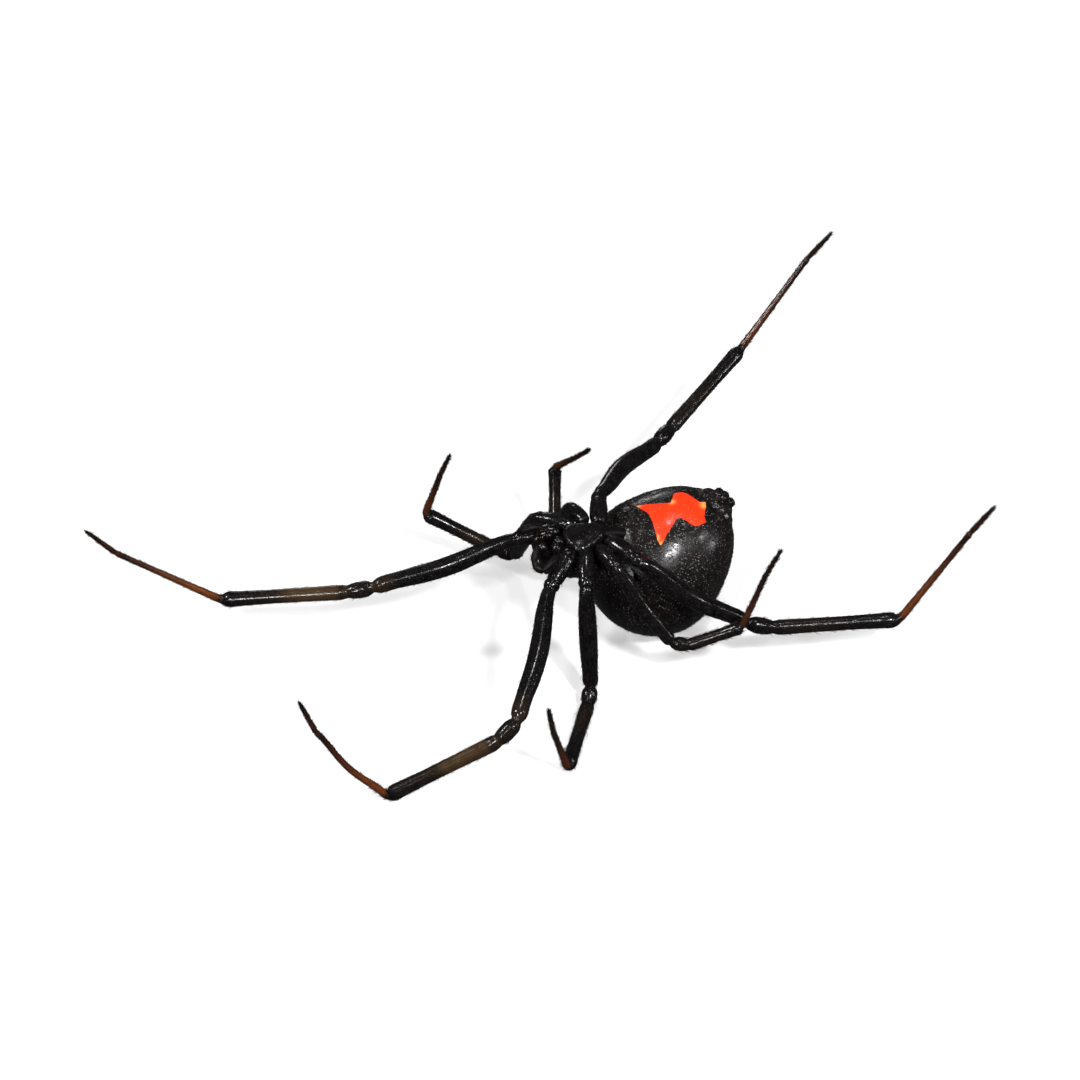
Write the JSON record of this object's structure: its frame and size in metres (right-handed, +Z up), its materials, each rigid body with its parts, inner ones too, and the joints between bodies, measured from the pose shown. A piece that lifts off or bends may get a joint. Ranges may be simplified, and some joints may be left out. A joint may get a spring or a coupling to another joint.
{
  "type": "black widow spider",
  "caption": "Adult female black widow spider lying on its back, legs spread as in its web, with the red hourglass on its round belly.",
  "frame": {"origin": "centre of the small flat on the back of the abdomen, where the spider rests on the floor", "axes": "+Z up out of the belly, +X from the head towards the spinnerets and along the longest reach of the legs, +Y to the far side of the picture"},
  "size_m": [0.0572, 0.0391, 0.0149],
  "materials": {
    "black_cuticle": "glossy black cuticle",
    "abdomen_cuticle": "satin black cuticle with a red hourglass",
    "brown_cuticle": "glossy brown cuticle",
    "fang": "polished dark brown"
  },
  "bodies": {
    "root": {"abdomen": "abdomen_cuticle", "carapace": "black_cuticle", "chelicera_left": "black_cuticle", "chelicera_right": "black_cuticle", "fang_left": "fang", "fang_right": "fang", "labium": "black_cuticle", "leg_1_left_coxa": "black_cuticle", "leg_1_left_femur": "black_cuticle", "leg_1_left_foot": "brown_cuticle", "leg_1_left_tibia": "black_cuticle", "leg_1_right_coxa": "black_cuticle", "leg_1_right_femur": "black_cuticle", "leg_1_right_foot": "brown_cuticle", "leg_1_right_tibia": "black_cuticle", "leg_2_left_coxa": "black_cuticle", "leg_2_left_femur": "black_cuticle", "leg_2_left_foot": "brown_cuticle", "leg_2_left_tibia": "black_cuticle", "leg_2_right_coxa": "black_cuticle", "leg_2_right_femur": "black_cuticle", "leg_2_right_foot": "brown_cuticle", "leg_2_right_tibia": "black_cuticle", "leg_3_left_coxa": "black_cuticle", "leg_3_left_femur": "black_cuticle", "leg_3_left_foot": "brown_cuticle", "leg_3_left_tibia": "black_cuticle", "leg_3_right_coxa": "black_cuticle", "leg_3_right_femur": "black_cuticle", "leg_3_right_foot": "brown_cuticle", "leg_3_right_tibia": "black_cuticle", "leg_4_left_coxa": "black_cuticle", "leg_4_left_femur": "black_cuticle", "leg_4_left_foot": "brown_cuticle", "leg_4_left_tibia": "black_cuticle", "leg_4_right_coxa": "black_cuticle", "leg_4_right_femur": "black_cuticle", "leg_4_right_foot": "brown_cuticle", "leg_4_right_tibia": "black_cuticle", "maxilla_left": "black_cuticle", "maxilla_right": "black_cuticle", "palp_left_femur": "black_cuticle", "palp_left_tibia": "black_cuticle", "palp_right_femur": "black_cuticle", "palp_right_tibia": "black_cuticle", "pedicel": "brown_cuticle", "spinnerets": "brown_cuticle", "sternum": "black_cuticle"}
  },
  "joints": []
}
